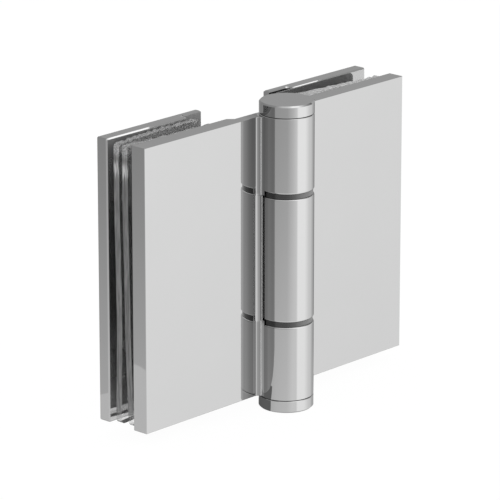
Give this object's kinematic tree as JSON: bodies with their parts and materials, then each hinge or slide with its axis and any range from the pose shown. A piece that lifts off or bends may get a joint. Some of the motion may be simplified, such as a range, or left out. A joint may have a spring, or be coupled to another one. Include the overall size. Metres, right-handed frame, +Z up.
{
  "type": "glass-to-glass hinge",
  "caption": "Polished hinge that clamps two glass panes edge to edge between plates and turns about an upright barrel in front of them.",
  "frame": {"origin": "the middle of the closed hinge's bounding box: half way up the leaves, in line with the barrel's axis from left to right, half way between the barrel's front and the back plates' backs", "axes": "+X along the leaves, from the left leaf to the right one; +Y from the barrel towards the back plates; +Z up, along the barrel"},
  "size_m": [0.117, 0.0326, 0.0988],
  "materials": {
    "polished_chrome": "mirror polished",
    "black_nylon": "satin",
    "clear_vinyl": "clear soft vinyl",
    "white_nylon": "natural nylon",
    "bearing_brass": "turned",
    "stainless_steel": "turned"
  },
  "bodies": {
    "left_leaf": {"left_front_leaf": "polished_chrome", "left_back_plate": "polished_chrome", "left_front_gasket": "clear_vinyl", "left_back_gasket": "clear_vinyl", "left_upper_screw": "stainless_steel", "left_lower_screw": "stainless_steel", "left_upper_sleeve": "white_nylon", "left_lower_sleeve": "white_nylon", "hinge_pin": "stainless_steel", "top_cap": "polished_chrome", "bottom_cap": "polished_chrome"},
    "right_leaf": {"right_front_leaf": "polished_chrome", "right_back_plate": "polished_chrome", "right_front_gasket": "clear_vinyl", "right_back_gasket": "clear_vinyl", "right_upper_screw": "stainless_steel", "right_lower_screw": "stainless_steel", "right_upper_sleeve": "white_nylon", "right_lower_sleeve": "white_nylon", "upper_bush": "bearing_brass", "lower_bush": "bearing_brass", "upper_washer": "black_nylon", "lower_washer": "black_nylon"}
  },
  "joints": [
    {"name": "leaf_swing", "type": "hinge", "parent": "left_leaf", "child": "right_leaf", "pos_m": [0, -0.0077, 0], "axis": [0, 0, -1], "range_deg": [0, 180]}
  ]
}
